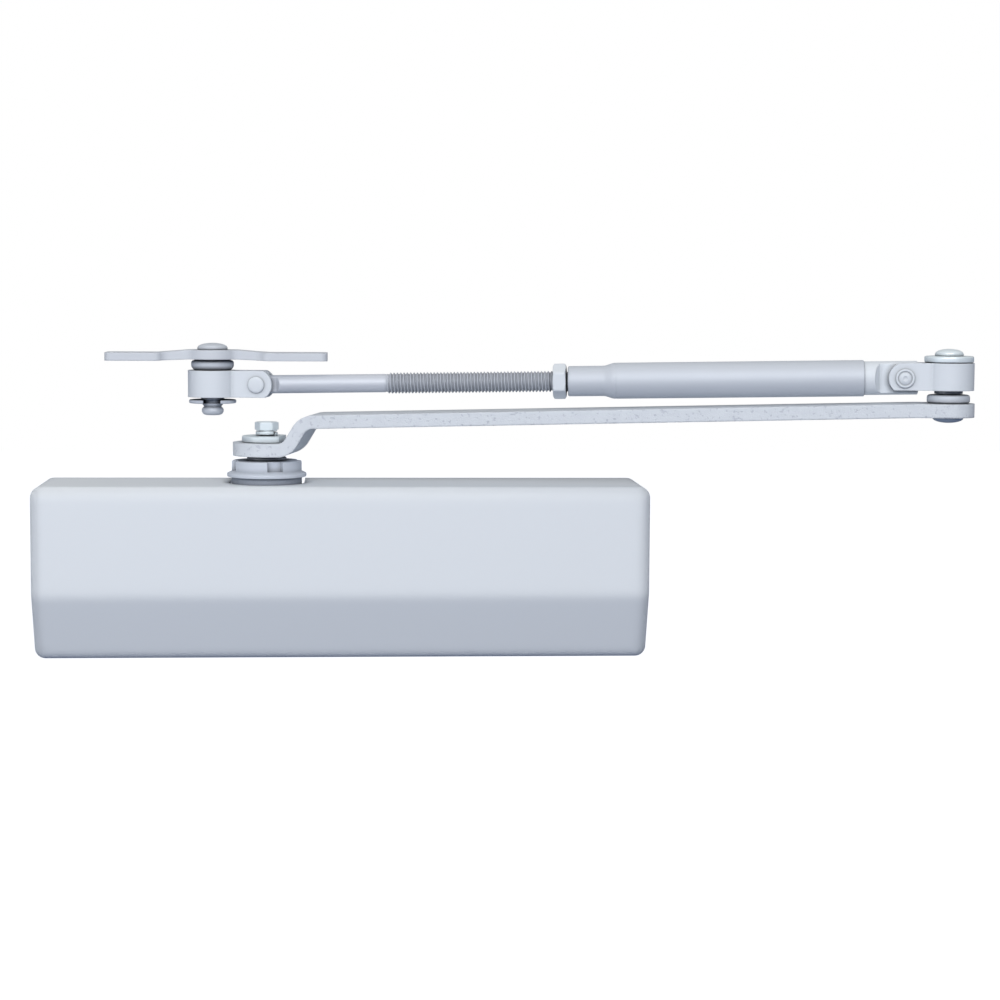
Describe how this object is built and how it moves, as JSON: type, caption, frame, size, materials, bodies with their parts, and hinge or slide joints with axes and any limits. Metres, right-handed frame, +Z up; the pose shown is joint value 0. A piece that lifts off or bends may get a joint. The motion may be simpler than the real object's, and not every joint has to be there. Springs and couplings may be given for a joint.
{
  "type": "surface door closer",
  "caption": "Surface door closer: rectangular cover over a rack-and-pinion body, folded jointed arm with flat bar, adjustable tube forearm and screw-on shoe.",
  "frame": {"origin": "centre of the four fixing holes on the back face of the body casting", "axes": "+X along the body towards the spring end, +Y back to the door leaf along the fixing screws, +Z up along the spindle"},
  "size_m": [0.345, 0.0736, 0.1196],
  "materials": {
    "cover_paint": "satin light silver paint",
    "arm_paint": "satin silver paint over forged and pressed steel",
    "zinc_plate": "bright zinc plating",
    "cast_aluminium": "as cast, machined at the bores",
    "machined_steel": "turned and oiled",
    "bearing_steel": "ground",
    "spring_steel": "oil-tempered wire",
    "brass_valve": "turned brass",
    "seal_rubber": "nitrile rubber",
    "piston_band": "glass-filled band"
  },
  "bodies": {
    "root": {"cover": "cover_paint", "cover_screws": "zinc_plate", "body_casting": "cast_aluminium", "left_end_plug": "machined_steel", "left_plug_seal": "seal_rubber", "right_end_plug": "machined_steel", "right_plug_seal": "seal_rubber", "top_bearing": "bearing_steel", "bottom_bearing": "bearing_steel", "bottom_cap": "machined_steel", "gland_nut": "arm_paint", "shaft_seal": "seal_rubber", "closing_spring_outer": "spring_steel", "closing_spring_inner": "spring_steel"},
    "closing_valve": {"closing_valve": "brass_valve"},
    "latching_valve": {"latching_valve": "brass_valve"},
    "spindle": {"pinion_shaft": "machined_steel", "main_arm": "arm_paint", "arm_washer": "zinc_plate", "arm_spring_washer": "zinc_plate", "arm_bolt": "zinc_plate", "elbow_pin": "arm_paint", "elbow_spacer": "arm_paint", "elbow_bush": "machined_steel", "elbow_washer": "zinc_plate"},
    "piston": {"piston": "machined_steel", "piston_ring": "piston_band", "check_valve": "brass_valve"},
    "elbow_eye": {"elbow_eye": "arm_paint", "elbow_rivet": "arm_paint"},
    "forearm_tube": {"forearm_tube": "arm_paint", "tube_lug": "arm_paint"},
    "rod": {"threaded_rod": "arm_paint"},
    "lock_nut": {"lock_nut": "arm_paint"},
    "shoe_eye": {"shoe_eye": "arm_paint", "shoe_rivet": "arm_paint", "shoe_bush": "machined_steel"},
    "shoe": {"shoe_pin": "arm_paint", "shoe_spacer": "arm_paint", "shoe_clip": "arm_paint", "shoe_plate": "arm_paint"}
  },
  "joints": [
    {"name": "pinion_turn", "type": "hinge", "parent": "root", "child": "spindle", "pos_m": [-0.0285, -0.022, 0], "axis": [0, 0, 1], "range_deg": [-170, 0], "stiffness_Nm_per_rad": 6, "springref_deg": 171.89},
    {"name": "piston_slide", "type": "slide", "parent": "root", "child": "piston", "axis": [1, 0, 0], "range_m": [0, 0.0238], "deforming": ["closing_spring_outer", "closing_spring_inner"]},
    {"name": "closing_valve_turn", "type": "hinge", "parent": "root", "child": "closing_valve", "pos_m": [-0.092, -0.008, 0.015], "axis": [1, 0, 0], "range_deg": [-180, 180]},
    {"name": "latching_valve_turn", "type": "hinge", "parent": "root", "child": "latching_valve", "pos_m": [-0.092, -0.008, -0.015], "axis": [1, 0, 0], "range_deg": [-180, 180]},
    {"name": "elbow_turn", "type": "hinge", "parent": "spindle", "child": "elbow_eye", "pos_m": [0.22098, -0.06406, 0.07485], "axis": [0, 0, 1], "range_deg": [-170, 170]},
    {"name": "elbow_tilt", "type": "hinge", "parent": "elbow_eye", "child": "forearm_tube", "pos_m": [0.20486, -0.06167, 0.07425], "axis": [0.1469, 0.9891, 0], "range_deg": [-1, 20]},
    {"name": "forearm_length", "type": "slide", "parent": "forearm_tube", "child": "rod", "axis": [-0.989, 0.1469, -0.0193], "range_m": [-0.025, 0.025]},
    {"name": "lock_nut_travel", "type": "slide", "parent": "rod", "child": "lock_nut", "axis": [-0.989, 0.1469, -0.0193], "range_m": [-0.025, 0.025]},
    {"name": "shoe_tilt", "type": "hinge", "parent": "rod", "child": "shoe_eye", "pos_m": [-0.03145, -0.02656, 0.06965], "axis": [0.1469, 0.9891, 0], "range_deg": [-10, 10]},
    {"name": "shoe_pivot", "type": "hinge", "parent": "shoe_eye", "child": "shoe", "pos_m": [-0.04856, -0.02402, 0.06985], "axis": [0, 0, 1], "continuous": true}
  ],
  "couplings": [
    {"joint": "piston_slide", "follows": "pinion_turn", "m_per_rad": -0.008},
    {"joint": "lock_nut_travel", "follows": "forearm_length", "ratio": -1}
  ]
}
